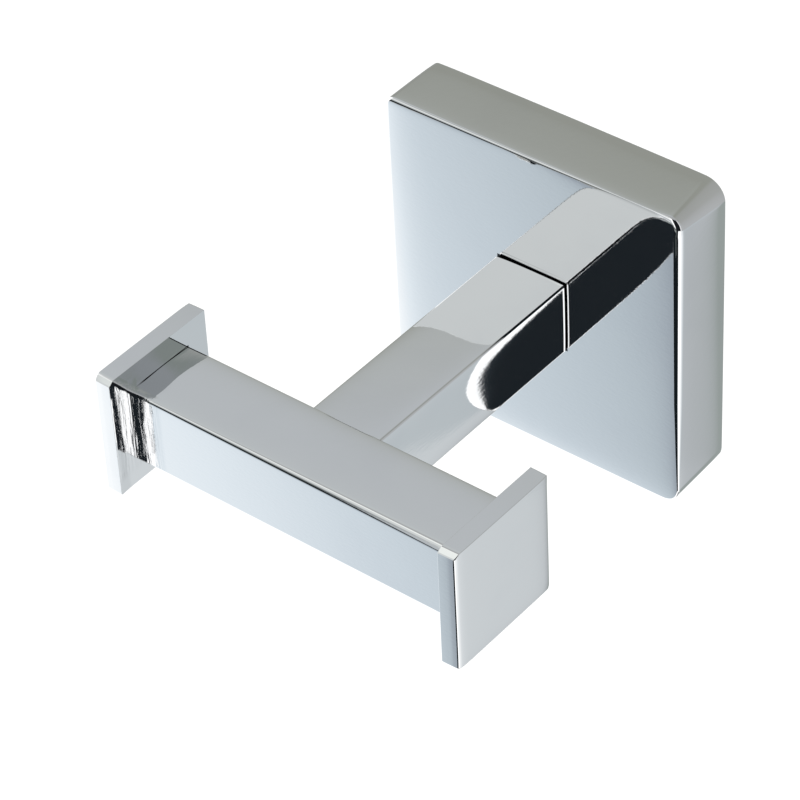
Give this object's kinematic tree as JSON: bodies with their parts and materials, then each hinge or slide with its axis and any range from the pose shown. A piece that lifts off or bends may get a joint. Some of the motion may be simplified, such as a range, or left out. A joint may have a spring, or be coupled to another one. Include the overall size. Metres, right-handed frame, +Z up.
{
  "type": "double robe hook",
  "caption": "Square wall-mounted double robe hook: a hollow square rosette, a square arm, and a square crossbar closed by raised square end plates.",
  "frame": {"origin": "centre of the rosette's back, on the wall plane", "axes": "+X along the crossbar, to the right seen from the room; +Y into the wall; +Z up"},
  "size_m": [0.0612, 0.0674, 0.05],
  "materials": {
    "chrome": "polished",
    "screw_steel": "satin",
    "zinc_plate": "satin"
  },
  "bodies": {
    "root": {"rosette": "chrome", "arm": "chrome", "crossbar": "chrome", "end_plate_left": "chrome", "end_plate_right": "chrome", "arm_screw": "screw_steel", "arm_washer": "screw_steel", "wall_bracket": "zinc_plate", "grub_screw": "screw_steel"}
  },
  "joints": []
}
